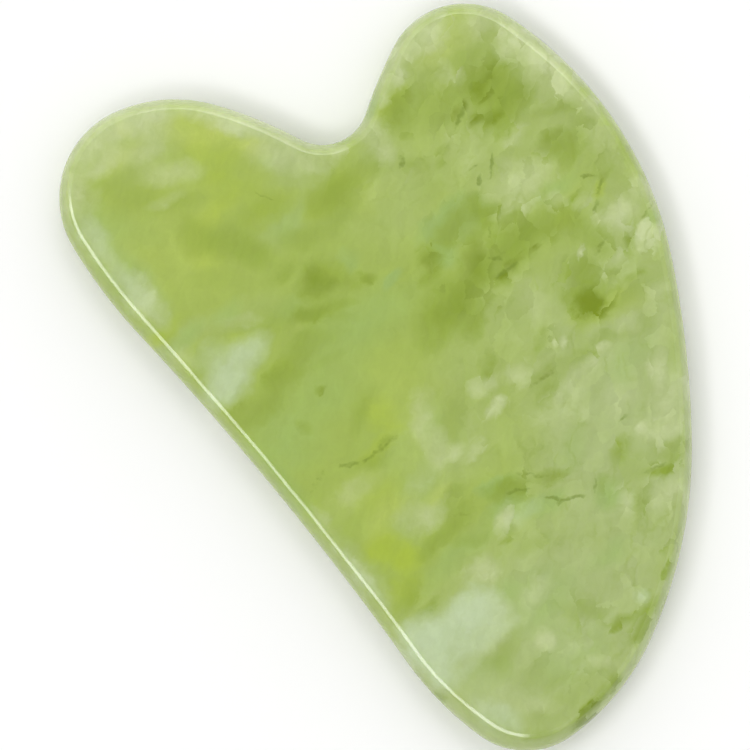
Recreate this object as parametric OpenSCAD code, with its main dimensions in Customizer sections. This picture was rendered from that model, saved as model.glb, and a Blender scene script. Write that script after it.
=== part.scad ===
// Heart-shaped gua sha scraper, carved and polished from one flat piece of stone.
//
// Units are millimetres. The scraper lies flat on its back face. The origin is on that face, at
// the centre of the outline's box. +Y runs from the tip to the two lobes, +X runs from the
// straight edge to the curved one, and +Z points up through the stone.
//
// The outline is a closed chain of arcs, each tangent to the next. It is walked anticlockwise,
// with the stone on the left: from the foot of the straight edge round the tip, up the belly,
// over the short lobe, through the notch, over the tall lobe and down the straight edge.
//
// The border has one section all the way round: a barrel-shaped side that swells out halfway up,
// and at both faces a small easing where the side meets the flat.

/* [Stone] */
// Length from the tip to the top of the tall lobe
length = 80; // [60:1:120]
// Thickness between the two flat faces
thickness = 6; // [4:0.5:8]

/* [Outline, in proportion to a length of 80] */
// Radius of the tip
tip_r = 8; // [6:0.5:10]
// Radius of the short lobe
short_lobe_r = 8.3; // [7:0.1:9.5]
// Radius of the tall lobe
tall_lobe_r = 9.8; // [8:0.1:12]
// Radius of the notch between the lobes
notch_r = 4.7; // [3:0.1:7]

/* [Border] */
// Width of the side, seen from above, before its meeting with the flat is eased
side_w = 1.2; // [0.6:0.1:1.6]
// Radius of the easing between the side and the flat
ease_r = 0.4; // [0.1:0.1:0.8]

/* [Smoothness] */
// Most degrees that one facet of the outline turns through
facet_turn = 4; // [3:0.5:8]
// Longest facet of the outline
facet_length = 2; // [1.5:0.5:5]
// Facets across half of the side
side_facets = 4; // [2:1:6]
// Facets across one easing
ease_facets = 2; // [1:1:3]

/* [Hidden] */
stone_colour = [0.67, 0.75, 0.40];

// ---- Outline ----

// Radius of an arc that is worked out from the others
CLOSING = 0;

// Arcs in order of travel, each as [how far it turns in degrees, its radius]. The hollow of the
// notch turns the other way, so both of its numbers are negative.
SHAPED_ARCS = [
    [18.5, 33],             // straight edge easing into the tip
    [71.5, tip_r],          // tip
    [30, 25],               // tip easing into the belly
    [25, 48],               // lower belly
    [11, CLOSING],          // belly, where it is flattest
    [45, 39],               // upper belly
    [97, short_lobe_r],     // short lobe
    [8, 54],                // short lobe's side of the notch
    [-100, -notch_r],       // notch
    [12.5, 44],             // tall lobe's side of the notch
    [40.5, 15],             // tall lobe's shoulder
    [96.5, tall_lobe_r],    // tall lobe
    [12, 55],               // tall lobe easing into the straight edge
];

// The sum of a list's first items, where zero is 0 for numbers and [0, 0] for points
function sum(list, items, zero = 0) = items == 0 ? zero : list[items - 1] + sum(list, items - 1, zero);

// The straight edge is the last arc. It makes up the full turn, so it is very slightly hollow,
// and it runs along Y on the whole because the walk starts half of its turn past -Y.
edge_turn = 360 - sum([for (arc = SHAPED_ARCS) arc[0]], len(SHAPED_ARCS));
start_heading = -90 + edge_turn / 2;
ARCS = concat(SHAPED_ARCS, [[edge_turn, CLOSING]]);
TURNS = [for (arc = ARCS) arc[0]];
HEADINGS = [for (i = [0:len(ARCS)]) start_heading + sum(TURNS, i)];

// The way from heading a to heading b along an arc of radius 1
function way(a, b) = [sin(b) - sin(a), cos(a) - cos(b)];

// The belly and the straight edge take the two radii that bring the walk back to its start
WAYS = [for (i = [0:len(ARCS) - 1]) way(HEADINGS[i], HEADINGS[i + 1])];
belly = search(CLOSING, ARCS, 1, 1)[0];
edge = len(ARCS) - 1;
gap = -sum([for (i = [0:edge]) ARCS[i][1] * WAYS[i]], len(ARCS), [0, 0]);
belly_r = cross(gap, WAYS[edge]) / cross(WAYS[belly], WAYS[edge]);
edge_r = cross(WAYS[belly], gap) / cross(WAYS[belly], WAYS[edge]);
RADII = [for (i = [0:edge]) i == belly ? belly_r : i == edge ? edge_r : ARCS[i][1]];
STARTS = [for (i = [0:edge]) sum([for (k = [0:edge]) RADII[k] * WAYS[k]], i, [0, 0])];

// Number of facets on arc i
function facets(i) = ceil(abs(TURNS[i]) * max(1 / facet_turn, abs(RADII[i]) * PI / 180 / facet_length));

// Every point of the walk, as [point, direction into the stone]
WALK = [
    for (i = [0:edge])
        for (k = [0:facets(i) - 1])
            let (heading = HEADINGS[i] + TURNS[i] * k / facets(i))
                [STARTS[i] + RADII[i] * way(HEADINGS[i], heading), [-sin(heading), cos(heading)]]
];

// Box of the walk, and what brings it to the right length with its centre at the origin
ACROSS = [for (step = WALK) step[0][0]];
ALONG = [for (step = WALK) step[0][1]];
centre = [min(ACROSS) + max(ACROSS), min(ALONG) + max(ALONG)] / 2;
size_ratio = length / (max(ALONG) - min(ALONG));

// ---- Border ----

// The side is an arc that bulges by side_w. The easing is a smaller arc, tangent inside it and
// tangent to the flat. Angles are of the surface's tilt: 0 halfway up the side, 90 on the front.
half = thickness / 2;
side_r = (half ^ 2 + side_w ^ 2) / (2 * side_w);
side_tilt = asin((half - ease_r) / (side_r - ease_r));
flat_inset = side_r - (side_r - ease_r) * cos(side_tilt);

TILTS = concat(
    [for (k = [0:side_facets - 1]) side_tilt * k / side_facets],
    [for (k = [0:ease_facets]) side_tilt + (90 - side_tilt) * k / ease_facets]
);
ALL_TILTS = concat([for (k = [len(TILTS) - 1:-1:1]) -TILTS[k]], TILTS);

// Point of the border at a tilt, as [distance in from the outline, height above the back face]
function border(tilt) =
    abs(tilt) < side_tilt
        ? [side_r * (1 - cos(tilt)), half + side_r * sin(tilt)]
        : [flat_inset - ease_r * cos(tilt), half + sign(tilt) * (half - ease_r) + ease_r * sin(tilt)];

// The outline moved in by an inset and lifted to a height
function ring(inset, height) = [
    for (step = WALK)
        let (p = (step[0] - centre) * size_ratio + inset * step[1])
            [p[0], p[1], height]
];

// ---- The stone ----

// One closed solid: a stack of rings from the back face to the front. Each end is closed by a
// flat fan of triangles round the origin, from which the whole outline can be seen.
module scraper_stone() {
    n = len(WALK);
    rings = len(ALL_TILTS);
    front_ring = n * (rings - 1);
    back_centre = n * rings;
    front_centre = back_centre + 1;
    points = concat(
        [for (tilt = ALL_TILTS) let (b = border(tilt)) each ring(b[0], b[1])],
        [[0, 0, 0], [0, 0, thickness]]
    );
    border_faces = [
        for (low = [0:n:front_ring - 1])
            for (k = [0:n - 1])
                let (next = (k + 1) % n, up = low + n)
                    each [[low + k, up + k, up + next], [low + k, up + next, low + next]]
    ];
    back_fan = [for (k = [0:n - 1]) [back_centre, k, (k + 1) % n]];
    front_fan = [for (k = [0:n - 1]) [front_centre, front_ring + (k + 1) % n, front_ring + k]];
    color(stone_colour) polyhedron(points, concat(border_faces, back_fan, front_fan));
}

scraper_stone();
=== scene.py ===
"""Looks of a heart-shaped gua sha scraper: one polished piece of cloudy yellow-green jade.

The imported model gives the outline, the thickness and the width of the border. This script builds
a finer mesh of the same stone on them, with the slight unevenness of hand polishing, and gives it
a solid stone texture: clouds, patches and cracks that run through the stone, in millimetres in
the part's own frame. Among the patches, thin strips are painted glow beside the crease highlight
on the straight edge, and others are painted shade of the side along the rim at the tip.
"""
import math

import bpy
import numpy as np
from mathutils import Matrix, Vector, geometry, noise

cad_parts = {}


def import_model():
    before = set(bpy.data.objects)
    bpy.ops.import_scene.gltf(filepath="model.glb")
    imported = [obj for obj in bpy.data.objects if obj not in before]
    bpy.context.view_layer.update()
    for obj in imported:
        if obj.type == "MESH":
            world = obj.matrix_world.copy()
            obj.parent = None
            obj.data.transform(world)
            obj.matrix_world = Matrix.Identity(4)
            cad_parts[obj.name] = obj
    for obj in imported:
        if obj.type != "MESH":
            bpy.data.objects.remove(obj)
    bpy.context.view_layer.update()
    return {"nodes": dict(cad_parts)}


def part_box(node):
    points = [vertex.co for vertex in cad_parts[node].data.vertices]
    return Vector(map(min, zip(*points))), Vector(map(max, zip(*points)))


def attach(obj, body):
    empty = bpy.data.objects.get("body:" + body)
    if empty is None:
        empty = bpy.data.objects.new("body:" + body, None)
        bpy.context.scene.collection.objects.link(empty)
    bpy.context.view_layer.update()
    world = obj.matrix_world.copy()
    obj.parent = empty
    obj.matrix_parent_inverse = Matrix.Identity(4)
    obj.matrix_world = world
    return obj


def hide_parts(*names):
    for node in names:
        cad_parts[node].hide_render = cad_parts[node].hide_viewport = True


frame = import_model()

MM = 0.001
STONE = "scraper_stone"

low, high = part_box(STONE)
MIDDLE = (low + high) / 2
THICKNESS = (high.z - low.z) / MM
HALF = THICKNESS / 2


# ---- Outline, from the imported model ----

def level_ring(height):
    """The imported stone's corners at one height, in order round its centre, in mm."""
    corners = np.array([v.co for v in frame["nodes"][STONE].data.vertices], float) / MM
    on_level = corners[np.abs(corners[:, 2] - height) < 1e-3]
    flat = np.unique(np.round(on_level[:, :2], 4), axis=0)
    flat = flat[np.hypot(*flat.T) > 1]          # leaves out the centre of a flat face
    return flat[np.argsort(np.arctan2(flat[:, 1], flat[:, 0]))]


def closed_spline(points, count):
    """A smooth closed curve through the points, as count evenly spaced points and their headings."""
    after = np.roll(points, -1, axis=0)
    step = np.hypot(*(after - points).T)
    n = len(points)
    before = np.roll(step, 1)
    system = np.zeros((n, n))
    rows = np.arange(n)
    system[rows, rows] = 2 * (before + step)
    system[rows, (rows - 1) % n] = step
    system[rows, (rows + 1) % n] = before
    slope_after = (after - points) / step[:, None]
    slope_before = np.roll(slope_after, 1, axis=0)
    slope = np.linalg.solve(system, 3 * (step[:, None] * slope_before + before[:, None] * slope_after))
    start = np.concatenate([[0], np.cumsum(step)])
    at = np.arange(count) / count * start[-1]
    k = np.clip(np.searchsorted(start, at, side="right") - 1, 0, n - 1)
    width = step[k][:, None]
    t = ((at - start[k]) / step[k])[:, None]
    p0, p1, m0, m1 = points[k], after[k], slope[k] * width, np.roll(slope, -1, axis=0)[k] * width
    place = ((2 * t**3 - 3 * t**2 + 1) * p0 + (t**3 - 2 * t**2 + t) * m0
             + (3 * t**2 - 2 * t**3) * p1 + (t**3 - t**2) * m1)
    way = (6 * t**2 - 6 * t) * (p0 - p1) + (3 * t**2 - 4 * t + 1) * m0 + (3 * t**2 - 2 * t) * m1
    return place, way / np.hypot(*way.T)[:, None]


AROUND = 720                    # points round the outline
outline, heading = closed_spline(level_ring(MIDDLE.z / MM), AROUND)
inward = np.column_stack([-heading[:, 1], heading[:, 0]])
flat_edge = level_ring(high.z / MM)
FLAT_INSET = float(np.median([np.hypot(*(outline - corner).T).min() for corner in flat_edge]))


# ---- The stone's mesh ----

SIDE_STEPS = 10                 # rows of faces from halfway up the side to its meeting with the flat
EASE_R = 0.3                    # mm, radius on both sides of the bevel
BEVEL_R = 5.0                   # mm, radius of the narrow bevel that polishing leaves along the flat
BEVEL_START, BEVEL_END = 73.5, 77.5     # degrees, the surface's tilt where it starts and ends
EASE_STEPS, BEVEL_STEPS = 4, 4
FLAT_SHIFT = 0.07               # mm further in that the finer mesh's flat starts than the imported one's
# Where the flat starts further in than elsewhere: x, y, reach and how much, in mm
CREASE_SWELLS = [(-26.2, 24, 8, 0.18), (-26, -19, 6, 0.12), (-24.5, -34, 8, 0.4), (25, 18, 8, 0.25)]
# What hand polishing leaves along the border, as waves: wavelength in mm, size and own seed
WIDTH_WAVES = [(9, 0.05, 0), (2.2, 0.02, 5)]        # size in mm
EASE_WAVES = [(5, 0.2, 9)]                          # size as a share of EASE_R
TILT_WAVES = [(7, 1.2, 13), (0.9, 1.3, 17)]         # size in degrees
GRID = 0.45                     # mm between the points of a flat face
POLISH_DIP = 0.03               # mm, deepest hollow that polishing leaves in a flat face
ROLL_OFF = 0.02                 # mm that a flat face sinks next to its bevel
ROLL_WIDTH = 1.3                # mm over which it does


def wander(points, wavelength, seed):
    """Smooth noise between about -1 and 1 at each point."""
    return np.array([noise.noise(Vector((x / wavelength, y / wavelength, seed))) for x, y in points])


def waves(points, kinds, seed):
    """The sum of several kinds of wave at each point."""
    return sum(size * wander(points, wavelength, seed + own) for wavelength, size, own in kinds)


def arc(radius, start, end):
    """How far in and up an arc of the section goes between two tilts in degrees."""
    start, end = np.radians(start), np.radians(end)
    return np.array([radius * (np.cos(start) - np.cos(end)), radius * (np.sin(end) - np.sin(start))])


def border_section(inset, ease_r, tilt_shift):
    """Points of the border's section from halfway up (tilt 0) to the flat (tilt 90), as pairs of
    distance in from the outline and height above the middle: a barrel-shaped side, an easing, a
    narrow bevel and a last easing, each tangent to the next."""
    bevel = (BEVEL_START + tilt_shift, BEVEL_END + tilt_shift)
    above = arc(BEVEL_R, *bevel) + arc(ease_r, bevel[1], 90) + arc(ease_r, 0, bevel[0])
    # the side's arc takes what the others leave of the inset and of the height
    width, height = np.array([inset, HALF - ROLL_OFF]) - above
    side_tilt = 2 * math.degrees(math.atan2(width, height))
    side_r = ease_r + height / math.sin(math.radians(side_tilt))
    arcs = [(side_r, side_tilt, SIDE_STEPS), (ease_r, bevel[0], EASE_STEPS),
            (BEVEL_R, bevel[1], BEVEL_STEPS), (ease_r, 90, EASE_STEPS)]
    place, tilt = np.zeros(2), 0.0
    points = [place]
    for radius, end, steps in arcs:
        points += [place + arc(radius, tilt, tilt + (end - tilt) * k / steps) for k in range(1, steps + 1)]
        place, tilt = points[-1], end
    return np.array(points)


def swell(x, y, reach, more):
    """How much further in one of the swells makes the flat start, all along the outline."""
    return more * np.exp(-(np.hypot(*(outline - (x, y)).T) / reach) ** 2)


def border_half(seed):
    """Rings from halfway up the side to the flat, as arrays of x, y and height above the middle."""
    further = sum(swell(*place) for place in CREASE_SWELLS)
    inset = FLAT_INSET + FLAT_SHIFT + further + waves(outline, WIDTH_WAVES, seed)
    ease_r = EASE_R * (1 + waves(outline, EASE_WAVES, seed))
    tilt_shift = waves(outline, TILT_WAVES, seed)
    sections = np.array([border_section(*values) for values in zip(inset, ease_r, tilt_shift)])
    steps = sections.transpose(1, 0, 2)
    return [np.column_stack([outline + step[:, :1] * inward, step[:, 1]]) for step in steps]


def inside(points, ring, margin):
    """Which points lie inside the ring, further than margin from it, and how far each is."""
    kept, distances = [], []
    ring_next = np.roll(ring, -1, axis=0)
    for p in points:
        crosses = (ring[:, 1] > p[1]) != (ring_next[:, 1] > p[1])
        a, b = ring[crosses], ring_next[crosses]
        x_cross = a[:, 0] + (p[1] - a[:, 1]) * (b[:, 0] - a[:, 0]) / (b[:, 1] - a[:, 1])
        if np.count_nonzero(x_cross > p[0]) % 2:
            distance = np.hypot(*(ring - p).T).min()
            if distance > margin:
                kept.append(p)
                distances.append(distance)
    return np.array(kept), np.array(distances)


def flat_face(ring):
    """An even triangular grid that fills a ring: its points, how far each is from the ring, and
    the triangles, which count the ring's points first and then the grid's."""
    columns = np.arange(ring[:, 0].min(), ring[:, 0].max(), GRID)
    rows = np.arange(ring[:, 1].min(), ring[:, 1].max(), GRID * math.sqrt(3) / 2)
    grid = np.array([(x + (k % 2) * GRID / 2, y) for k, y in enumerate(rows) for x in columns])
    filling, distance = inside(grid, ring, GRID * 0.55)
    points = [Vector(p) for p in np.vstack([ring, filling])]
    count = len(ring)
    edges = [(k, (k + 1) % count) for k in range(count)]
    _, _, faces, origin, _, _ = geometry.delaunay_2d_cdt(points, edges, [], 1, 1e-6)
    index = [o[0] for o in origin]
    return filling, distance, [tuple(index[v] for v in face) for face in faces]


def build_stone():
    """The whole stone as one closed mesh."""
    front, back = border_half(3.1), border_half(7.7)
    rings = [np.column_stack([ring[:, :2], HALF - ring[:, 2]]) for ring in reversed(back[1:])]
    rings += [np.column_stack([ring[:, :2], HALF + ring[:, 2]]) for ring in front]
    points = np.vstack(rings)
    faces = []
    for r in range(len(rings) - 1):
        for k in range(AROUND):
            after = (k + 1) % AROUND
            faces.append((r * AROUND + k, r * AROUND + after, (r + 1) * AROUND + after, (r + 1) * AROUND + k))
    # each flat face: its ring, that ring's first point, its height and a seed
    last = (len(rings) - 1) * AROUND
    flats = [(rings[0], 0, 0.0, 2.0), (rings[-1], last, THICKNESS, 6.0)]
    for ring, first, height, seed in flats:
        filling, distance, triangles = flat_face(ring[:, :2])
        hollow = POLISH_DIP * (0.5 + 0.5 * wander(filling, 11, seed)) * (1 - np.exp(-distance / 4))
        sink = (hollow + ROLL_OFF * np.exp(-distance / ROLL_WIDTH)) * (1 if height else -1)
        base = len(points)
        points = np.vstack([points, np.column_stack([filling, height - sink])])
        for triangle in triangles:
            corners = [first + v if v < AROUND else base + v - AROUND for v in triangle]
            faces.append(tuple(corners if height else reversed(corners)))
    mesh = bpy.data.meshes.new("jade_heart")
    mesh.from_pydata((points * MM).tolist(), [], faces)
    mesh.validate()
    mesh.shade_smooth()
    stone = bpy.data.objects.new("jade_heart", mesh)
    bpy.context.scene.collection.objects.link(stone)
    return stone


# ---- The stone's texture, with a little painted glow and painted shade at its edge ----

PATCH_REACH = 1.5               # a patch fades out at this many times its half length and width
PATCH_DEPTH = 4.5               # mm below the front face that patches go
CRACK_DEPTH = 1.6               # mm, the same for cracks
MELT = 7.0                      # the higher, the less that patches melt into their neighbours
GRAIN_TURN = 40                 # degrees that the grains are turned about Z
GRAIN_STRETCH = (0.62, 1.0, 0.8)    # the lower, the longer the grains are that way


class Nodes:
    """Adds nodes to a material's or world's tree. Most methods return the socket with the result."""

    def __init__(self, material):
        material.use_nodes = True
        self.tree = material.node_tree
        self.tree.nodes.clear()

    def add(self, kind, settings=None, **inputs):
        """A new node, with settings and inputs given by name."""
        node = self.tree.nodes.new(kind)
        for name, value in (settings or {}).items():
            setattr(node, name, value)
        for name, value in inputs.items():
            self.feed(node.inputs[name.replace("_", " ")], value)
        return node

    def feed(self, socket, value):
        """Links a socket to another node's result, or sets its value."""
        if isinstance(value, bpy.types.NodeSocket):
            self.tree.links.new(value, socket)
        else:
            socket.default_value = value

    def math(self, operation, *values):
        """One step of arithmetic."""
        node = self.add("ShaderNodeMath", {"operation": operation})
        for socket, value in zip(node.inputs, values):
            self.feed(socket, value)
        return node.outputs[0]

    def vector(self, operation, *values):
        """One step of vector arithmetic."""
        node = self.add("ShaderNodeVectorMath", {"operation": operation})
        for socket, value in zip(node.inputs, values):
            self.feed(socket, value)
        return node.outputs["Value" if operation in ("LENGTH", "DOT_PRODUCT") else "Vector"]

    def scaled(self, vector, factor):
        """A vector times a number."""
        node = self.add("ShaderNodeVectorMath", {"operation": "SCALE"})
        self.feed(node.inputs[0], vector)
        self.feed(node.inputs["Scale"], factor)
        return node.outputs["Vector"]

    def ramp(self, value, start, end, low=0.0, high=1.0):
        """A smooth step from low to high as the value goes from start to end."""
        node = self.add("ShaderNodeMapRange", {"interpolation_type": "SMOOTHSTEP"}, Value=value,
                        From_Min=start, From_Max=end, To_Min=low, To_Max=high)
        return node.outputs["Result"]

    def noise(self, point, size, detail=3.0, roughness=0.5, colour=False):
        """Noise whose features are about size mm across."""
        node = self.add("ShaderNodeTexNoise", Vector=point, Scale=1 / size, Detail=detail,
                        Roughness=roughness)
        return node.outputs["Color" if colour else "Fac"]

    def turned(self, point, turn, stretch):
        """The point in axes turned about Z, times a stretch."""
        axes = self.add("ShaderNodeVectorRotate", {"rotation_type": "Z_AXIS"}, Vector=point,
                        Angle=-math.radians(turn))
        return self.vector("MULTIPLY", axes.outputs[0], stretch)

    def push(self, colour, reach):
        """A noise's colour as an offset of at most half of reach each way."""
        return self.scaled(self.vector("SUBTRACT", colour, (0.5, 0.5, 0.5)), reach)

    def stored(self, name):
        """A vector that the mesh holds at its points."""
        return self.add("ShaderNodeAttribute", {"attribute_name": name}).outputs["Vector"]

    def grains(self, point, size, feature="F1"):
        """Long angular cells about size mm across. Returns the node, for its several results."""
        axes = self.turned(point, GRAIN_TURN, GRAIN_STRETCH)
        return self.add("ShaderNodeTexVoronoi", {"feature": feature}, Vector=axes, Scale=1 / size)

    def mix(self, factor, first, second, blend="MIX"):
        """The first colour with a share of the second mixed in, or joined to it as blend says."""
        node = self.add("ShaderNodeMix", {"data_type": "RGBA", "blend_type": blend})
        self.feed(node.inputs[0], factor)
        self.feed(node.inputs[6], first)
        self.feed(node.inputs[7], second)
        return node.outputs[2]


def srgb(red, green, blue):
    """A colour from its 0 to 255 screen values."""
    def linear(value):
        c = value / 255
        return c / 12.92 if c <= 0.04045 else ((c + 0.055) / 1.055) ** 2.4
    return (linear(red), linear(green), linear(blue), 1.0)


BODY = srgb(158, 178, 80)
PALE = srgb(168, 183, 122)
COOL = srgb(151, 177, 98)
GOLD = srgb(164, 184, 54)
LIGHT_GOLD = srgb(186, 200, 96)
MILK = srgb(193, 204, 152)
BLUE_MILK = srgb(188, 204, 163)
OLIVE = srgb(136, 158, 52)
DEEP = srgb(116, 136, 18)
CRACK = srgb(112, 134, 40)
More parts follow.
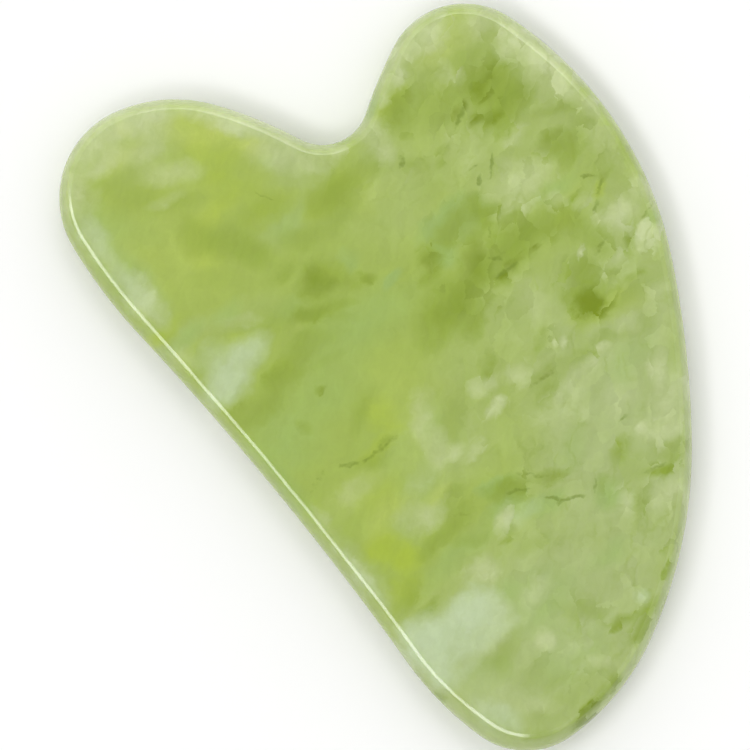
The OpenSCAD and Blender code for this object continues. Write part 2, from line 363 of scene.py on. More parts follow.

# Clouds and patches, placed near the front face. Among them, thin strips just inside the straight
# edge's crease are painted glow beside the crease highlight, and thin strips along the rim at the tip
# are painted shade of the stone's side. Each is x, y, half length, half width, turn in degrees, strength.
CLOUDS_AND_PAINTED_LIGHT = {
    "pale": [
        (-12, -31, 16, 10, 0, 1.0), (6, -19, 15, 9, 55, 1.0), (-8, -9, 5, 4, 0, 0.5),
        (13, -11, 8, 6, 50, 0.65), (7, 14, 9, 5, 0, 0.35), (20, -4, 4, 6, -20, 0.6), (15, 9, 7, 5, 0, 0.45),
        (17, 24, 9, 4, 0, 0.5), (22.5, 13, 3, 12, 0, 0.5), (-1, -4, 8, 4, 30, 0.4), (6, -4, 5, 4, 0, 0.5),
        # (-23.4, 27) and (-24, -14) here are strips just inside the straight edge's crease: painted glow
        # beside the crease highlight
        (-22, 16.6, 3, 1.2, -10, 0.4), (-23.4, 27, 2.0, 8, 0, 0.4), (-19.6, -6.8, 3.4, 1.2, 0, 0.3),
        (-24, -14, 1.4, 6, 0, 0.6), (-17, 14.6, 4, 1.6, -10, 0.4), (-3.6, 26, 3, 5, 25, 0.7),
        (-7.4, 19.6, 3, 2, 0, 0.4), (2.4, 12.6, 3, 2, -30, 0.3), (-13.6, 34, 4, 2, 0, 0.5),
        (-15.4, -12.6, 3, 1.6, 0, 0.5), (5.4, 19, 2, 4, 0, 0.5),
    ],
    "cool": [
        # (-23.4, 25) here and (-24.2, -2) below are strips just inside the straight edge's crease: painted
        # glow beside the crease highlight
        (-23.4, 25, 1.8, 5, 0, 0.8), (-22.8, 31.4, 1.8, 2.4, 0, 0.7), (-20.6, 30, 1.2, 1.6, 0, 0.5),
        (-19, 28, 2, 1.6, 0, 0.35), (-21.4, 1.8, 3.4, 3.4, 0, 0.6), (-15.4, 3.4, 4.6, 2.6, 0, 0.5),
        (-8, 6.4, 6, 2.6, -5, 0.6), (-12.6, 12.2, 2, 1.2, 0, 0.5), (-7.2, 19.6, 2.6, 1.6, 0, 0.5),
        (-2.2, 7.7, 1.4, 0.6, 15, 1.0), (-17.6, 16, 1.6, 0.8, 0, 0.6), (-22.4, 16.4, 2.2, 0.8, 0, 0.6),
        (-24.2, -2, 0.8, 5, 0, 0.6), (-5, 12.4, 1.4, 1, 0, 0.6), (5.4, 9.6, 3, 0.9, 10, 0.9),
        (3.6, 6.8, 1.2, 1.6, 0, 0.9), (7.2, 8.0, 2.6, 1.6, 0, 0.7), (-4.8, 25.4, 0.8, 1.2, 0, 0.5),
        (-8.8, -6.4, 2.2, 1.2, 40, 0.6), (-13.6, -9.4, 2, 1.4, 0, 0.6), (-15, -18.4, 4, 1.2, 5, 0.5),
        (-12, -7, 3.4, 2.0, 0, 0.5), (-7.6, -15.6, 1.8, 0.9, -10, 1.0), (-8.2, -17.4, 2.0, 0.9, 0, 0.9),
        (-5.6, -19.6, 2.6, 1.0, -20, 0.8), (-12, -27.4, 4, 2.4, 0, 0.6), (0.6, -23.2, 1.5, 1.5, 0, 0.8),
        (-12.4, -33.4, 3.4, 2.4, 0, 0.5), (-14, -24.4, 1.8, 1.2, 0, 0.6), (-3.2, -28, 2, 1, 0, 0.5),
        (16.6, 4.6, 2.4, 0.9, -5, 0.6), (1, -17.4, 2.4, 1.2, 30, 0.4), (11, -14, 3, 1.2, 10, 0.4),
        (22.4, -4.2, 1, 0.8, 0, 0.6), (7.2, 23.2, 1.2, 0.7, 30, 0.6), (-20.6, -30, 2, 1.6, 0, 0.5),
    ],
    "gold": [
        (-20.6, -12.6, 1.8, 1.4, -30, 0.8), (-19.6, -14.8, 1.6, 1.9, 0, 0.8),
        (-21.6, -17.6, 2.2, 1.1, 25, 0.6), (-17.4, -8.6, 2.6, 1.2, 0, 0.35),
        (-8.8, 30.8, 2.2, 1.5, -10, 0.45), (-7, 28.6, 1.8, 1.8, -30, 0.6), (-9.4, 27.6, 2, 1.4, 0, 0.5),
        (-11.4, 25, 3.2, 1.2, 10, 0.55), (-15.2, 23, 1.8, 2.6, 0, 0.5), (-12, -1.8, 1.5, 1.6, -40, 0.5),
        (-12.4, -3.4, 1.8, 0.6, -40, 0.4), (-1.6, 18.4, 3.2, 1.6, 0, 0.65), (0.2, 19, 0.6, 1, 0, 0.5),
        (9.2, 21.8, 1.6, 1, 0, 0.6), (-17, 7.7, 1.6, 0.8, 12, 0.4), (20.2, 1.5, 1.0, 0.6, 35, 0.6),
        (-7.2, 12.6, 1.5, 1, -20, 0.6), (18.4, 15.8, 1.6, 2.4, 0, 0.5), (1, 16, 2.4, 2, 0, 0.3),
        (-14.5, -4.6, 2.6, 0.8, 0, 0.5), (-24, 18.4, 2.4, 0.9, 0, 0.5), (-18.4, 12.8, 2, 0.8, -30, 0.5),
        (-6.2, 26.2, 1.4, 1.6, 0, 0.5), (-7.6, 21.6, 2.8, 1.2, -10, 0.5), (12.8, -8.2, 3.4, 1.6, -20, 0.55),
        (-6.8, 24, 2.2, 1.6, 0, 0.35), (15.2, 1.4, 1.2, 1.2, 0, 0.5), (-25.4, 18.4, 0.7, 0.7, 0, 0.9),
        (-1.2, 1.2, 1, 1, 0, 0.4),
    ],
    "light": [
        (-8.6, 33, 3.0, 2.2, -35, 0.5), (-6.4, 31.8, 2, 1.2, -50, 0.6), (20.4, 24, 2.6, 1.2, -30, 0.15),
        (17, 23, 3, 1.4, 0, 0.35), (-5.2, 28, 2.4, 1.0, -60, 0.5), (-15.6, 35.6, 2.4, 1.2, 0, 0.4),
        (-13.8, 37.6, 0.8, 0.9, 0, 0.8), (-18, -10.4, 3, 1.2, 10, 0.4), (-8.6, -3, 3, 4, 0, 0.2),
        (-19, -6.8, 3, 1.4, 0, 0.25), (-12, -7.4, 3, 1.6, 20, 0.3), (-17, 26, 6, 8, 0, 0.3),
        (-12.8, -12.2, 1.2, 0.7, 0, 0.35), (19.4, 25, 1, 0.6, 0, 0.2), (6.6, 10.8, 1, 0.6, 0, 0.2),
    ],
    "olive": [
        (-17.4, 30.8, 2.4, 1.6, -20, 0.45), (-18.4, 33.6, 2.6, 1.0, -10, 0.35),
        (-14.4, 27.6, 2.6, 0.9, -20, 0.45), (-15.4, 25.2, 1.4, 1.4, -60, 0.5),
        (-13.6, 22.4, 3.2, 1.6, -45, 0.6), (-12.4, 19.6, 2.6, 1.4, -60, 0.6), (-9, 22, 3, 1.2, -10, 0.45),
        (-7.2, 17.4, 2.2, 1.2, -30, 0.5), (-10.4, 15.6, 1.4, 0.8, 0, 0.45), (-1.4, 18.4, 3, 1.7, 0, 0.75),
        (-2.4, 16, 2.4, 1, 10, 0.45), (-16.6, 19.4, 2.4, 1.2, -30, 0.3), (9.3, 21.2, 1.7, 1.4, 10, 0.85),
        (9.6, 19.4, 1.6, 1, 0, 0.5), (12.8, 18.2, 3, 1.8, -10, 0.5), (6.4, 16.4, 2, 1, -30, 0.35),
        (18, 20.8, 2, 1.2, 0, 0.45), (18, 17.2, 2.6, 2.6, 20, 0.9), (16.6, 14.6, 2.6, 1.2, 0, 0.9),
        (19, 14.6, 2, 1.6, 0, 0.85), (17.4, 13.2, 2.4, 0.8, 0, 0.6), (20.4, 17.4, 0.9, 0.5, 0, 0.6),
        (9.6, 14.4, 1.2, 0.5, 10, 0.4), (6.8, 12, 1.4, 1.6, 0, 0.3), (3.4, 17.6, 1.4, 1.2, -40, 0.4),
        (-8.4, 12.6, 2.0, 1.8, 0, 0.9), (-11.2, 10.3, 2.2, 0.9, -20, 1.0), (-9.0, 9.7, 1.8, 0.7, -20, 0.6),
        (-6.8, 11, 1.6, 0.8, -35, 0.6), (-4.2, 9.8, 1.1, 0.6, -45, 0.7), (-9.4, 8.6, 2, 0.5, -40, 0.4),
        (-12.6, 8, 2.4, 1.2, -20, 0.45), (-14.6, 12.2, 2, 1.6, 0, 0.4), (-21, 5.8, 3, 1.1, 5, 0.65),
        (-17.6, 7.0, 2.8, 1.1, 12, 0.75), (-14.4, 8.0, 2.4, 1.2, 15, 0.6), (-22.4, 6.8, 1.4, 0.6, 15, 0.4),
        (-15.6, 3.9, 0.5, 0.4, 0, 0.7), (-18.8, 1.4, 0.6, 0.8, 0, 0.45), (-13.6, -0.6, 2.2, 0.9, 25, 0.5),
        (-13, 5.6, 2, 0.6, -20, 0.3), (-1.6, 1.6, 2.6, 2.0, 10, 0.75), (1.4, 2.2, 3.4, 2.2, 15, 0.95),
        (5, 3.4, 1.6, 2.0, -30, 0.95), (9.6, 2.6, 4, 2.0, 0, 0.9), (13.6, 2.2, 2.6, 1.6, -8, 0.65),
        (15.8, 0.4, 1.6, 1.6, -40, 0.6), (17.2, 2.8, 1.6, 0.5, 0, 0.6), (16.3, -2.4, 1.1, 1.8, 10, 0.55),
        (1.0, -0.9, 2.0, 1.1, 20, 0.75), (2.8, -0.3, 1.8, 0.7, 5, 0.6), (10.8, 4.4, 1.8, 0.8, -30, 0.4),
        (7, 1.2, 2, 0.6, 0, 0.5), (2.2, 7.2, 1.1, 1.3, 30, 0.9), (1, 5.8, 1.6, 0.8, 20, 0.8),
        (5.8, 8.2, 2.8, 1.3, 5, 0.75), (8.8, 7.4, 1.6, 1.9, 15, 0.85), (6.4, 5.6, 1.6, 0.8, 20, 0.6),
        (19.8, 7.3, 1.8, 1.5, -30, 0.8), (18.6, 8, 1.1, 0.8, 0, 0.5), (21.6, 10.7, 2.2, 0.7, -25, 0.5),
        (22, 7, 1.4, 2, 0, 0.45), (22, 3.6, 2, 1.6, 0, 0.3), (21, 2.6, 0.8, 0.5, 0, 0.5),
        (24.6, 3, 0.6, 0.5, 0, 0.4), (12.0, -6.2, 2.1, 2.2, -20, 1.0), (13, -3.7, 1.7, 1.3, 0, 0.75),
        (15.4, -8.4, 3.4, 1.2, -20, 0.4), (8, -10.8, 5, 1.2, -5, 0.45), (-15, -36.8, 5, 1.2, 0, 0.35),
        (-17, 14.4, 2.6, 1.0, 0, 0.3), (9.6, -8.6, 2, 0.8, 30, 0.3), (14.8, -6.4, 0.9, 0.6, 0, 0.5),
        (11.4, -2.6, 1.2, 0.5, 40, 0.4), (3.2, -9.8, 1.6, 0.5, 4, 0.45), (2.3, -11, 1.6, 0.7, 20, 0.5),
        (17, -7.6, 0.9, 0.5, -20, 0.5), (18.3, -4.9, 0.5, 0.9, 0, 0.5), (-6.8, -7.2, 2.0, 1.5, 45, 0.45),
        (-3.6, -5.4, 1.6, 0.7, 45, 0.3), (-1.2, -5, 2, 0.6, 30, 0.3), (5.8, -7, 1.4, 0.6, 40, 0.35),
        (13.4, -12, 2, 0.8, 0, 0.35), (8.6, -10.8, 1.4, 0.4, -45, 0.4), (-16.2, -5.2, 1.8, 0.8, -20, 0.5),
        (-13.6, -4.8, 1.2, 0.4, 0, 0.5), (-16, -15.8, 2.2, 0.9, 0, 0.65), (-12.8, -15.4, 1.8, 1.0, 0, 0.6),
        (-12.8, -13.6, 1.4, 0.9, 0, 0.5), (-22, -18.4, 1.8, 0.8, 30, 0.5), (-21, -20.5, 1.2, 0.5, 0, 0.6),
        (-13.4, -17.8, 1.6, 0.8, -30, 0.4), (-7.2, -16.2, 2.0, 1.1, -20, 0.85),
        (-9.8, -20, 1, 0.35, 0, 0.6), (-3, -18, 2, 0.7, -30, 0.65), (-8.6, -22, 1.6, 0.8, 0, 0.3),
        (4.2, -21, 1.6, 0.9, 10, 0.65), (4.2, -23, 2, 1.6, 0, 0.45), (6.2, -24.3, 1.6, 0.5, -20, 0.6),
        (8.4, -24, 2.0, 1.1, -25, 0.5), (2.8, -25.8, 1.4, 0.7, 30, 0.5), (0.8, -21.8, 1, 0.8, 30, 0.4),
        (-18.3, -29.6, 2.4, 1.2, 20, 0.5), (-8.8, -31, 2.2, 1.2, -50, 0.45),
        (-17, -32.8, 1.8, 1.4, 0, 0.35), (-15.6, -34.6, 1.4, 0.6, 0, 0.35),
        (-6.5, -33.9, 1.5, 0.7, -15, 0.8), (-5.8, -36.1, 1.8, 0.7, 10, 0.7), (-4, -35.1, 2.0, 0.8, 10, 0.7),
        # (-14.8, -39.0), (-12, -38.6), (-20, -38.3) and (-21, -37.8) are thin strips along the rim at the
        # tip: painted shade of the stone's side
        (-2.4, -33.6, 0.5, 0.4, 0, 0.5), (-14.8, -39.0, 2.8, 0.6, 0, 0.8), (-12, -38.6, 1.4, 0.6, 10, 0.8),
        (-20, -38.3, 1.4, 0.4, -30, 0.45), (-21, -37.8, 1, 0.4, -40, 0.4), (-25.8, -28.3, 0.8, 0.9, 0, 1.0),
        (15.4, -16, 1.0, 1.0, 30, 0.2), (1.2, -33, 1.2, 0.4, 30, 0.6), (2.6, -31.4, 1, 0.6, 30, 0.3),
    ],
    "deep": [
        (12.1, -6.9, 1.5, 1.2, -35, 1.2), (12.8, -7.6, 1.2, 0.8, -20, 0.5), (7.8, 1.2, 1.8, 0.4, -10, 0.4),
        (17.8, 17.4, 1.3, 0.6, 15, 0.5), (16.2, 14.6, 1.6, 0.5, 0, 0.4), (-8.4, 12.8, 1.2, 1.3, 0, 0.4),
        (2, 7.0, 0.8, 0.8, 30, 0.35), (5, 4, 1.0, 1.5, -30, 0.4), (2, 1.8, 3.0, 1.4, 15, 0.35),
        # (-15, -39.1) is a thin strip along the rim at the tip: painted shade of the stone's side
        (-15, -39.1, 1.6, 0.35, 0, 0.6), (13.6, 16.5, 0.8, 0.5, 10, 0.35),
    ],
    "milky": [
        (-16, 38.6, 6, 1.8, 0, 0.8), (-11.6, 37.2, 2.6, 1.9, -30, 0.9), (-13, 34.6, 2.6, 1.2, 0, 0.5),
        (-17.6, 36.2, 2.8, 1.0, 0, 0.6), (-22.0, 35.6, 2.6, 1.2, 45, 0.7),
        # (-23.4, 31.6), (-23.8, 27.4), (-23.6, 22.4), (-24.2, 15), (-23.8, -6.8) and (-24, -13.6) are thin
        # strips just inside the straight edge's crease: painted glow beside the crease highlight
        (-23.4, 31.6, 2.0, 1.2, 90, 0.45), (-23.8, 27.4, 2.6, 1.0, 90, 0.4),
        (-21.4, 33.6, 1.4, 0.9, 45, 0.35), (-23.6, 22.4, 3.0, 1.3, 90, 0.7),
        (-13, 30.7, 2.8, 1.1, -32, 0.5), (-15.4, 28.9, 2, 0.6, -20, 0.3), (-7.4, 35.4, 2.8, 1.1, -35, 0.5),
        (-3.3, 29.2, 6.5, 1.3, -58, 0.9), (-3.4, 25.6, 2.6, 1.8, -45, 0.5), (-1.2, 23, 2.4, 1.2, -35, 0.5),
        (-6, 32.2, 1.4, 0.8, -50, 0.4), (-24.2, 15, 1, 1.4, 0, 0.4), (-17.2, 14.6, 1.8, 0.6, -30, 0.3),
        (13.4, 25.6, 4.0, 1.4, 18, 0.65), (17.0, 25.2, 1.8, 1.5, 10, 0.75),
        (11.5, 23.8, 0.9, 1.3, -20, 0.7), (8.8, 23.4, 1.2, 0.7, 20, 0.4), (5.6, 21.4, 1.4, 1.7, 0, 0.5),
        (5.3, 18.6, 1.2, 1.3, 10, 0.45), (15.6, 21, 0.9, 1.6, 0, 0.5), (22.8, 23.0, 2.0, 0.9, -60, 0.6),
        (23.6, 19.6, 2.8, 1.2, -75, 0.9), (24.2, 14.6, 4, 1.4, 90, 0.9), (22.2, 18.6, 1.6, 1.4, 0, 0.5),
        (22.6, 14.6, 1.8, 2.2, 0, 0.45), (24.6, 8.6, 1.0, 1.6, 0, 0.6), (23.6, 5, 1.2, 3.4, 0, 0.4),
        (21.4, 22.8, 1.5, 1.4, 0, 0.6), (1.4, 22.0, 1.4, 0.6, -30, 0.6), (3, 15.4, 2, 1.2, 0, 0.2),
        (-9.2, -5, 2.4, 1.0, 50, 0.5), (-9.8, -8, 1.4, 1.9, -20, 0.55), (-13.4, -9.8, 1.6, 1.0, 20, 0.35),
        (-8.4, -9.6, 1.2, 0.8, 0, 0.4), (-19.4, -6.6, 1.6, 0.9, 0, 0.35), (-2.3, -6.4, 1.5, 1.0, -30, 0.55),
        (-2.9, -9.2, 1.3, 0.8, 8, 0.8), (-23.8, -6.8, 0.7, 1.3, 0, 0.4), (-7.2, -10.9, 1.3, 0.6, 20, 0.4),
        (-14.8, -13.2, 1.6, 1.1, 0, 0.5), (-24, -13.6, 0.7, 2.2, 0, 0.5), (-16.6, -11.8, 1.4, 0.8, 0, 0.3),
        (14.2, 7.2, 2.6, 1.7, -20, 0.5), (12.2, 8.8, 1.8, 1.1, 30, 0.2), (11.8, 5.9, 1.6, 0.7, -10, 0.45),
        (16.4, 6.2, 1.6, 1.0, 0, 0.4), (12.8, 12.4, 1.8, 0.9, 20, 0.25), (16.8, 11.2, 1.1, 0.9, 0, 0.35),
        (11.6, 13.9, 1.6, 0.7, 0, 0.15), (16.0, 3.6, 1.2, 0.7, -10, 0.35), (19.8, -1.6, 1.7, 1.5, 0, 0.85),
        (21.1, -5.3, 1.4, 1.1, 20, 0.85), (23.4, -1.4, 1.0, 1.4, 0, 0.5), (7.2, -3, 1.6, 2.4, 0, 0.4),
        (1.1, -7.8, 1.5, 1.0, -20, 0.5), (6.8, -8, 0.5, 0.35, 30, 0.35), (18, 1.6, 1, 0.6, 0, 0.4),
        (13.9, -2.1, 0.6, 0.25, 25, 0.35), (16.8, -5.2, 1.2, 0.6, 0, 0.4), (13, -11, 1.2, 1.0, 0, 0.4),
        (4, -12.4, 2.8, 1.0, 0, 0.35), (8.2, -12.2, 0.7, 0.5, 0, 0.4), (18, -10.6, 1.4, 1.0, 0, 0.35),
        (16.6, -13, 2.2, 1.0, 50, 0.3), (-16, -25.4, 1.4, 2.2, -20, 0.6), (-9.6, -18.4, 1.2, 1.0, 40, 0.7),
        (-14.2, -21.1, 1.6, 1.2, 0, 0.6), (-11.8, -26.6, 1.8, 1.1, 0, 0.5),
        (-13.8, -30.6, 0.9, 1.0, -50, 0.7), (-11.8, -32.6, 2.0, 1.2, 0, 0.4),
        (-21.4, -31, 2.0, 1.6, 0, 0.4), (-11.2, -36, 2, 0.8, -40, 0.4), (-18.2, -35.6, 2.2, 0.8, -40, 0.35),
        (-3.6, -31, 1.4, 0.8, 0, 0.25), (-16, -27.6, 4, 0.7, 0, 0.3), (12.2, -17, 2.4, 0.8, 50, 0.65),
        (12.6, -19.4, 2, 1.4, 40, 0.55), (9.2, -21.9, 1.8, 1.1, -25, 0.7), (7.8, -20.5, 0.6, 0.6, 0, 0.7),
        (10.8, -21, 1.8, 1.4, 50, 0.55), (5.4, -26.8, 2.0, 1.5, 0, 0.6), (7.2, -16.2, 1.8, 1.5, 0, 0.4),
        (1.6, -24.8, 1.2, 1.0, 20, 0.5), (2.6, -14.2, 2.0, 1.2, 0, 0.3), (0.6, -13.4, 1, 0.8, 0, 0.3),
        (9.6, -11.8, 0.8, 0.5, 0, 0.3), (7, -28.4, 1, 0.6, 45, 0.4),
    ],
    "blue": [
        (-22.3, 10.4, 2.4, 2.1, 0, 0.85), (-19.4, 11.0, 2.6, 1.6, 10, 0.7), (-22.0, 13.2, 2.0, 1.2, 0, 0.4),
        (-17.4, 11.6, 1.4, 1.0, 0, 0.4), (-22.8, -23.4, 3.0, 2.4, 0, 1.0),
        (-18.4, -24.0, 3.0, 2.0, -10, 0.95), (-20.4, -26.2, 4.0, 1.4, -10, 0.7),
        (-23.8, -26, 1.4, 2.2, 0, 0.8), (-22.4, -33.4, 1.4, 2.6, 20, 0.6), (-16.4, -25.8, 1.4, 1.6, 0, 0.5),
        # (-23.6, 24), (-23.2, 30.6) and (-24.2, -14) are thin strips just inside the straight edge's crease:
        # painted glow beside the crease highlight
        (-23.6, 24, 1.0, 3.0, 0, 0.45), (-23.2, 30.6, 1.2, 2.2, 0, 0.4), (-3.3, -33.2, 1.0, 0.8, -20, 0.55),
        (-7.6, -19.3, 2.4, 0.8, 0, 0.35), (-22.4, -28, 2.0, 0.8, 0, 0.45), (-24.2, -14, 0.6, 3.6, 0, 0.45),
    ],
}
# Cracks: the same numbers, but thin
CRACKS = [
    (-17.9, -4.1, 1.0, 0.22, -30, 0.8), (-15.6, -4.9, 1.0, 0.2, 0, 0.8), (-13.8, -4.9, 1.3, 0.24, 0, 0.6),
    (-4, -20, 0.8, 0.18, -45, 1.0), (-3.1, -20.9, 0.8, 0.18, -15, 1.0), (-2, -21.4, 0.9, 0.18, -30, 1.0),
    (0.3, -21.7, 0.8, 0.18, 45, 0.7), (-6.2, -17.2, 1.2, 0.18, -30, 0.9), (-4.0, -16.9, 1.8, 0.18, -45, 0.6),
    (-12.4, -15.3, 1.0, 0.18, -30, 0.5), (3.2, -9.8, 1.3, 0.22, 0, 0.7), (10.9, 10.0, 0.6, 0.22, 45, 1.0),
    (12.9, 10.5, 1.2, 0.2, 45, 0.9), (11, 11.5, 1.0, 0.16, 0, 0.5), (13.6, 16.4, 1.0, 0.26, 30, 0.9),
    (5.9, 16.5, 0.7, 0.26, 45, 0.9), (7.2, 2.8, 0.7, 0.18, -45, 0.9), (7.4, 1.1, 1.5, 0.2, 0, 0.9),
    (8.5, 5.4, 0.7, 0.18, 45, 0.6), (20.2, 1.7, 0.9, 0.22, 30, 0.9), (18.5, 0.4, 0.6, 0.18, 30, 0.9),
    (19.9, 3.4, 0.7, 0.18, -45, 0.9), (-7.0, 22.6, 1.4, 0.12, -60, 0.5), (22.3, -3.3, 1.8, 0.14, 15, 0.6),
    (6.9, -18.2, 0.6, 0.18, 0, 0.8), (6.1, -24.2, 1.4, 0.2, -15, 0.6), (-21.4, -3.4, 1.6, 0.22, 15, 0.35),
    (16.2, -3.1, 0.9, 0.3, 15, 0.6),
]


def patch_axes(patch):
    """A patch's own axes, over its reach: multiplied by an offset in mm they give its place in it."""
    length, width, turn = patch[2] * PATCH_REACH, patch[3] * PATCH_REACH, math.radians(patch[4])
    return np.array([[math.cos(turn) / length, math.sin(turn) / length],
                     [-math.sin(turn) / width, math.cos(turn) / width]])


def patch_field(points, patches):
    """How far inside a list of patches each point is, and how that changes along X and Y. It is a
    patch's strength at its centre, 0 where it fades out, and never far below."""
    fields, slopes = [np.full(len(points), -1.0)], [np.zeros((len(points), 2))]
    depth = (points[:, 2] - THICKNESS) / (PATCH_DEPTH * PATCH_REACH)
    for patch in patches:
        axes, strength = patch_axes(patch), patch[5]
        local = (points[:, :2] - patch[:2]) @ axes.T
        fields.append(strength * (1 - (local**2).sum(axis=1) - depth**2))
        slopes.append(-2 * strength * local @ axes)
    fields, slopes = np.array(fields), np.array(slopes)
    highest = fields.max(axis=0)
    weights = np.exp(MELT * (fields - highest))
    total = weights.sum(axis=0)
    slope = (weights[:, :, None] * slopes).sum(axis=0) / total[:, None]
    return np.column_stack([highest + np.log(total) / MELT, slope])


def lay_clouds_and_painted_light(stone):
    """Stores each list's field on the mesh, where the material reads it."""
    points = np.array([v.co for v in stone.data.vertices]) / MM
    for name, patches in CLOUDS_AND_PAINTED_LIGHT.items():
        attribute = stone.data.attributes.new(name, "FLOAT_VECTOR", "POINT")
        attribute.data.foreach_set("vector", patch_field(points, patches).ravel())


def crack_field(nodes, point):
    """The same for the cracks, which are finer than the mesh, as nodes."""
    total = -1.0
    axes = {turn: nodes.turned(point, turn, (1, 1, 1)) for turn in sorted({crack[4] for crack in CRACKS})}
    for x, y, length, width, turn, strength in CRACKS:
        c, s = math.cos(math.radians(turn)), math.sin(math.radians(turn))
        stretch = Vector((1 / length, 1 / width, 1 / CRACK_DEPTH)) / PATCH_REACH
        centre = Vector((x * c + y * s, y * c - x * s, THICKNESS))
        local = nodes.vector("MULTIPLY_ADD", axes[turn], stretch, -centre * stretch)
        inside = nodes.math("MULTIPLY_ADD", nodes.vector("DOT_PRODUCT", local, local), -strength, strength)
        total = nodes.math("MAXIMUM", total, inside)
    return total


class Places:
    """Where in the stone its texture is read, in mm, and how crystalline the stone is there."""

    def __init__(self, nodes):
        self.here = nodes.scaled(nodes.add("ShaderNodeTexCoord").outputs["Object"], 1 / MM)
        at = nodes.add("ShaderNodeSeparateXYZ", Vector=self.here).outputs
        # smooth clouds on the straight side, broken grains on the other
        side = nodes.math("MULTIPLY_ADD", at["Y"], -0.35, at["X"])
        self.crystal = nodes.ramp(side, -14.0, 6.0, 0.15, 1.0)
        self.back = nodes.ramp(at["Z"], THICKNESS * 0.75, THICKNESS * 0.15)

        # the point that patches are read at wanders, and in crystalline stone it jumps between grains
        wide = nodes.push(nodes.noise(self.here, 5.0, 2, colour=True), 2.4)
        fine = nodes.push(nodes.noise(self.here, 1.5, 4, 0.6, colour=True), 1.5)
        self.grain = nodes.grains(nodes.vector("ADD", self.here, fine), 1.7).outputs["Color"]
        wander_by = nodes.vector("ADD", wide, fine)
        jump_by = nodes.vector("ADD", wander_by, nodes.scaled(nodes.push(self.grain, 1.3), self.crystal))
        self.wandered = nodes.vector("ADD", self.here, wander_by)
        self.broken = nodes.vector("ADD", self.here, jump_by)
        self.mottle = nodes.math("SUBTRACT", nodes.noise(self.broken, 2.6, 5, 0.62), 0.5)

        # what a stored field and its slope are multiplied by to read it there
        self.to_wandered, self.to_broken = self.reader(nodes, wander_by), self.reader(nodes, jump_by)

    @staticmethod
    def reader(nodes, offset):
        """The factors (1, x, y) that read a field and its two slopes at an offset."""
        parts = nodes.add("ShaderNodeSeparateXYZ", Vector=offset).outputs
        return nodes.add("ShaderNodeCombineXYZ", X=1.0, Y=parts["X"], Z=parts["Y"]).outputs[0]


# The clouds, with the painted glow and painted shade strips in their lists, in the order they are laid:
# list, colour, whether grains break them, full strength, how ragged, and their loose patches on the
# back: seed, size in mm and the least noise that makes one
LAYERS = [
    ("pale", PALE, False, 1.0, 1.0, (31.0, 16.0, 0.42)),
    ("cool", COOL, False, 0.9, 1.0, (53.0, 12.0, 0.50)),
    ("gold", GOLD, False, 1.0, 1.0, (11.0, 12.0, 0.56)),
    ("light", LIGHT_GOLD, False, 1.0, 1.0, None),
    ("olive", OLIVE, True, 1.0, 1.2, (83.0, 9.0, 0.56)),
    ("milky", MILK, True, 0.9, 1.2, (5.0, 9.0, 0.52)),
    ("blue", BLUE_MILK, False, 1.0, 0.6, (97.0, 13.0, 0.60)),
    ("deep", DEEP, True, 0.9, 1.2, None),
]
LOOSE_EDGE = 0.18               # how much more noise than the least makes a loose patch full


def clouds(nodes, places):
    """The colour of the clouds alone, with the strips of painted glow beside the crease and of painted shade
    along the rim at the tip.
    """
    colour = BODY
    for name, tint, broken, strength, ragged, loose in LAYERS:
        reader = places.to_broken if broken else places.to_wandered
        field = nodes.vector("DOT_PRODUCT", nodes.stored(name), reader)
        if loose:
            seed, size, least = loose
            place = nodes.vector("ADD", places.broken if broken else places.wandered, (seed, 7.0, 0.0))
            spread = nodes.ramp(nodes.noise(place, size, 3), least, least + LOOSE_EDGE)
            field = nodes.math("MAXIMUM", field, nodes.math("MULTIPLY", spread, places.back))
        mottled = nodes.math("MULTIPLY", places.mottle, field)
        field = nodes.math("MULTIPLY_ADD", mottled, ragged, field)
        share = nodes.math("MULTIPLY", nodes.ramp(field, -0.1, 1.1), strength)
        colour = nodes.mix(share, colour, tint)
    return colour


def grain_borders(nodes, places, colour):
    """Some of the borders between grains show as faint darker lines."""
    edge = nodes.grains(places.wandered, 2.3, "DISTANCE_TO_EDGE").outputs["Distance"]
    where = nodes.noise(nodes.vector("ADD", places.here, (3.0, 9.0, 0.0)), 3.5, 3)
    line = nodes.math("MULTIPLY", nodes.ramp(edge, 0.12, 0.0), nodes.ramp(where, 0.48, 0.62))
    line = nodes.math("MULTIPLY", line, places.crystal)
    return nodes.mix(nodes.math("MULTIPLY", line, 0.22), colour, OLIVE)


def mottling(nodes, places, colour):
    """Grains differ a little in lightness, and small streaks lie between them."""
    shade = nodes.add("ShaderNodeSeparateColor", Color=places.grain).outputs[0]
    shade = nodes.math("SUBTRACT", shade, 0.5)
    shade = nodes.math("MULTIPLY", shade, nodes.math("MULTIPLY", places.crystal, 0.10))
    streak = nodes.noise(nodes.turned(places.wandered, 38, (0.45, 1.8, 1.0)), 1.2, 3, 0.6)
    streak = nodes.math("MULTIPLY_ADD", nodes.math("SUBTRACT", streak, 0.5), 0.16, 1.0)
    value = nodes.math("ADD", nodes.math("MULTIPLY", places.mottle, 0.22), streak)
    value = nodes.math("ADD", value, shade)
    grey = nodes.add("ShaderNodeCombineXYZ", X=value, Y=value, Z=value).outputs[0]
    return nodes.mix(1.0, colour, grey, "MULTIPLY")


def cracks(nodes, places, colour):
    """Short ragged cracks."""
    bend = nodes.push(nodes.noise(places.here, 0.9, 2, colour=True), 0.9)
    crack = crack_field(nodes, nodes.vector("ADD", places.here, bend))
    chips = nodes.math("SUBTRACT", nodes.noise(places.here, 0.45, 3), 0.5)
    crack = nodes.math("MULTIPLY_ADD", chips, 1.4, crack)
    return nodes.mix(nodes.math("MULTIPLY", nodes.ramp(crack, 0.1, 1.1), 0.6), colour, CRACK)


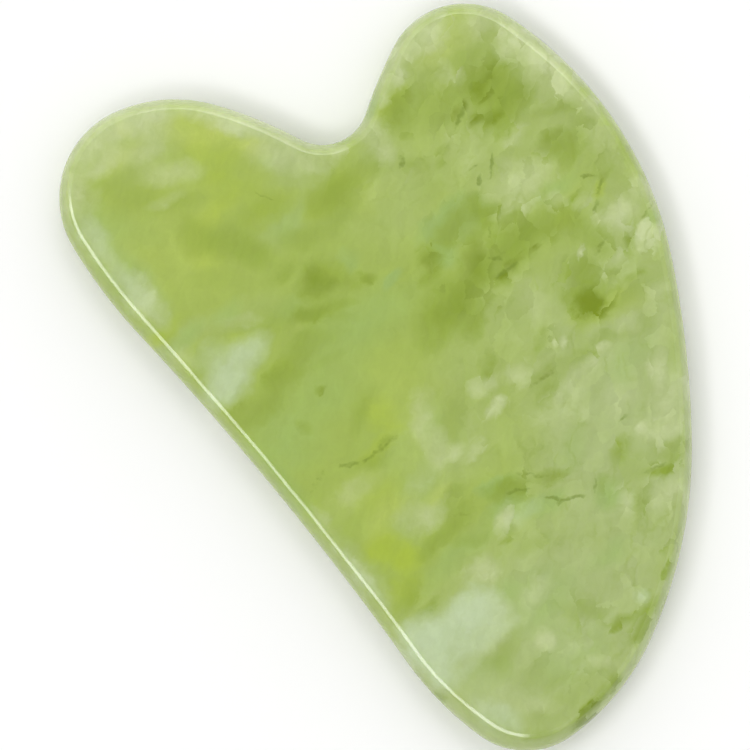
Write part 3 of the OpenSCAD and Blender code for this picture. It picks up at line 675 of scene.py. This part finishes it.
def jade():
    """Polished cloudy jade: its colour, slight changes in polish, a faint waviness of the surface
    and a little light passing under it."""
    material = bpy.data.materials.new("cloudy_jade")
    nodes = Nodes(material)
    places = Places(nodes)
    colour = clouds(nodes, places)
    for layer in (grain_borders, mottling, cracks):
        colour = layer(nodes, places, colour)

    rough = nodes.math("MULTIPLY_ADD", nodes.noise(places.here, 3.0, 5, 0.6), 0.08, 0.06)
    height = nodes.noise(places.here, 1.2, 3)
    bump = nodes.add("ShaderNodeBump", Height=height, Strength=0.04, Distance=0.1 * MM)
    shader = nodes.add("ShaderNodeBsdfPrincipled", Base_Color=colour, Roughness=rough, IOR=1.56,
                       Normal=bump.outputs[0], Subsurface_Weight=0.3,
                       Subsurface_Radius=(0.9, 1.2, 0.4), Subsurface_Scale=1.2 * MM)
    nodes.add("ShaderNodeOutputMaterial", Surface=shader.outputs[0])
    return material


# ---- Studio ----

AZIMUTH = math.radians(39.3)     # the way the camera looks, turned from +Y towards +X
ELEVATION = math.radians(85)
LENS = 250.0                     # mm, long, so that the stone's thickness hides none of its border
SENSOR = 36.0
FILL = 0.9965                    # share of the picture's height that the stone takes

# Soft bright panels: heading from +X towards +Y and half spread, elevation and half reach, all in
# degrees, and brightness. The first is on the straight edge's side, the others opposite it.
PANELS = [(180, 51, 60, 5, 6.0), (50, 40, 50, 20, 0.5), (40, 28, 60, 6, 1.8)]
BASE_LIGHT = 0.83
BRIGHT_WAY = (0.77, 0.64, 0)     # the low light is brighter this way than the other
LOW_GAIN, LOW_SHIFT = 0.30, -0.10       # how much so, and its change on average
HOOD_LIGHT = 0.15                # share of the light that the dark hood overhead lets by

AHEAD = Vector((math.sin(AZIMUTH), math.cos(AZIMUTH), 0))
RIGHT = Vector((math.cos(AZIMUTH), -math.sin(AZIMUTH), 0))


def aim(thing, target):
    """Turns a camera towards a point."""
    thing.rotation_euler = (target - thing.location).to_track_quat("-Z", "Y").to_euler()


def camera(stone):
    """A camera aimed at the stone's centre, as far off as makes the stone fill the picture."""
    towards = -AHEAD * math.cos(ELEVATION) + Vector((0, 0, math.sin(ELEVATION)))
    up = AHEAD * math.sin(ELEVATION) + Vector((0, 0, math.cos(ELEVATION)))
    corners = np.array([v.co for v in stone.data.vertices])
    across, along, depth = corners @ np.array(RIGHT), corners @ np.array(up), corners @ np.array(towards)
    centre = (RIGHT * float(across.max() + across.min()) + up * float(along.max() + along.min())
              + towards * float(depth.max() + depth.min())) / 2
    data = bpy.data.cameras.new("camera")
    data.lens = LENS
    data.sensor_width = SENSOR
    distance = float(along.max() - along.min()) / FILL * LENS / SENSOR
    eye = bpy.data.objects.new("camera", data)
    eye.location = centre + towards * distance
    bpy.context.scene.collection.objects.link(eye)
    aim(eye, centre)
    bpy.context.scene.camera = eye


def floor_material():
    """Matt white, very slightly uneven."""
    material = bpy.data.materials.new("pale_floor")
    nodes = Nodes(material)
    place = nodes.add("ShaderNodeTexCoord").outputs["Object"]
    tone = nodes.noise(nodes.scaled(place, 1 / MM), 60.0, 2)
    colour = nodes.mix(tone, (0.90, 0.90, 0.895, 1), (0.92, 0.92, 0.915, 1))
    shader = nodes.add("ShaderNodeBsdfPrincipled", Base_Color=colour, Roughness=0.7)
    nodes.add("ShaderNodeOutputMaterial", Surface=shader.outputs[0])
    return material


def floor():
    """A pale floor just under the stone."""
    reach, gap = 3.0, 0.00005
    mesh = bpy.data.meshes.new("floor")
    corners = [(-reach, -reach, low.z - gap), (reach, -reach, low.z - gap),
               (reach, reach, low.z - gap), (-reach, reach, low.z - gap)]
    mesh.from_pydata(corners, [], [(0, 1, 2, 3)])
    ground = bpy.data.objects.new("floor", mesh)
    bpy.context.scene.collection.objects.link(ground)
    ground.data.materials.append(floor_material())


def world():
    """Soft white light from all round, a little brighter near the floor on one side, with bright
    panels high on both sides and a dark camera hood overhead."""
    sky = bpy.data.worlds.new("studio")
    nodes = Nodes(sky)
    way = nodes.add("ShaderNodeTexCoord").outputs["Generated"]
    up = nodes.add("ShaderNodeSeparateXYZ", Vector=way).outputs["Z"]
    level = nodes.math("SQRT", nodes.math("SUBTRACT", 1.0, nodes.math("MULTIPLY", up, up)))

    def panel(heading, spread, elevation, reach, power):
        """Light from within spread of a heading over the floor and reach of an elevation."""
        heading, spread, elevation, reach = (math.radians(v) for v in (heading, spread, elevation, reach))
        towards = (math.cos(heading), math.sin(heading), 0)
        side = nodes.math("DIVIDE", nodes.vector("DOT_PRODUCT", way, towards), level)
        across = nodes.ramp(side, math.cos(spread * 1.1), math.cos(spread * 0.9))
        centre, half = math.sin(elevation), reach * math.cos(elevation)
        off = nodes.math("ABSOLUTE", nodes.math("SUBTRACT", up, centre))
        along = nodes.ramp(off, half * 1.2, half * 0.8)
        return nodes.math("MULTIPLY", nodes.math("MULTIPLY", across, along), power)

    uneven = nodes.math("MULTIPLY_ADD", nodes.vector("DOT_PRODUCT", way, BRIGHT_WAY), LOW_GAIN, LOW_SHIFT)
    near_floor = nodes.ramp(up, 0.45, 0.75, 1.0, 0.0)
    light = nodes.math("MULTIPLY_ADD", near_floor, uneven, BASE_LIGHT)
    light = nodes.math("MULTIPLY", light, nodes.ramp(up, 0.94, 0.975, 1.0, HOOD_LIGHT))
    for values in PANELS:
        light = nodes.math("ADD", light, panel(*values))
    # past the floor's edge the camera sees plain white
    seen = nodes.add("ShaderNodeLightPath").outputs["Is Camera Ray"]
    light = nodes.math("MAXIMUM", light, seen)
    background = nodes.add("ShaderNodeBackground", Color=(1, 1, 1, 1), Strength=light)
    nodes.add("ShaderNodeOutputWorld", Surface=background.outputs[0])
    bpy.context.scene.world = sky


stone = build_stone()
lay_clouds_and_painted_light(stone)
stone.data.materials.append(jade())
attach(stone, "root")
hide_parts(STONE)

camera(stone)
floor()
world()

bpy.context.scene.view_settings.view_transform = "Standard"
